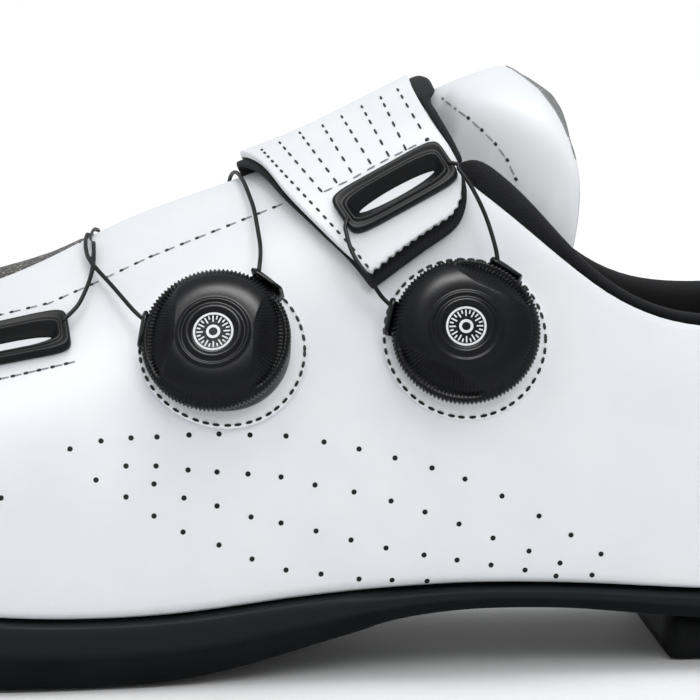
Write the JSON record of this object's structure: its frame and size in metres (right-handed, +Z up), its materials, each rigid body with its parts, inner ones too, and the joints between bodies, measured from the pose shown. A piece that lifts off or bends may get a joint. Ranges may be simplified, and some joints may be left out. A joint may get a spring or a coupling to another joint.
{
  "type": "cycling shoe",
  "caption": "Cycling shoe with a hard arched sole, a smooth hollow upper, a padded tongue, an instep strap and round lace dials.",
  "frame": {"origin": "middle of the bounding box in plan, on the plane that the shoe stands on", "axes": "+X from the toe to the heel, +Y toward the inner side of the foot, +Z up"},
  "size_m": [0.2842, 0.1012, 0.1125],
  "materials": {
    "leather": "smooth white synthetic leather",
    "sole": "smooth black moulded sole",
    "rubber": "matt black rubber",
    "lining": "black padded textile",
    "mesh": "dark speckled mesh",
    "plastic": "satin black plastic",
    "cable": "black coated lace cable",
    "insole": "dark grey foam faced with cloth"
  },
  "bodies": {
    "root": {"outsole": "sole", "heel_block": "rubber", "insole": "insole", "upper": "leather", "collar_lining": "lining", "tongue_mesh": "mesh", "tongue_pad": "leather", "instep_strap": "leather", "strap_lining": "lining", "strap_binding": "lining", "strap_guide": "plastic", "vamp_guide": "plastic", "anchor_front": "plastic", "anchor_middle": "plastic", "anchor_rear": "plastic", "dial_patch_front": "leather", "dial_base_front": "plastic", "dial_knob_front": "plastic", "dial_patch_rear": "leather", "dial_base_rear": "plastic", "dial_knob_rear": "plastic", "cable_front": "cable", "cable_front_top": "cable", "cable_front_far": "cable", "cable_strap_left": "cable", "cable_strap_right": "cable"}
  },
  "joints": []
}
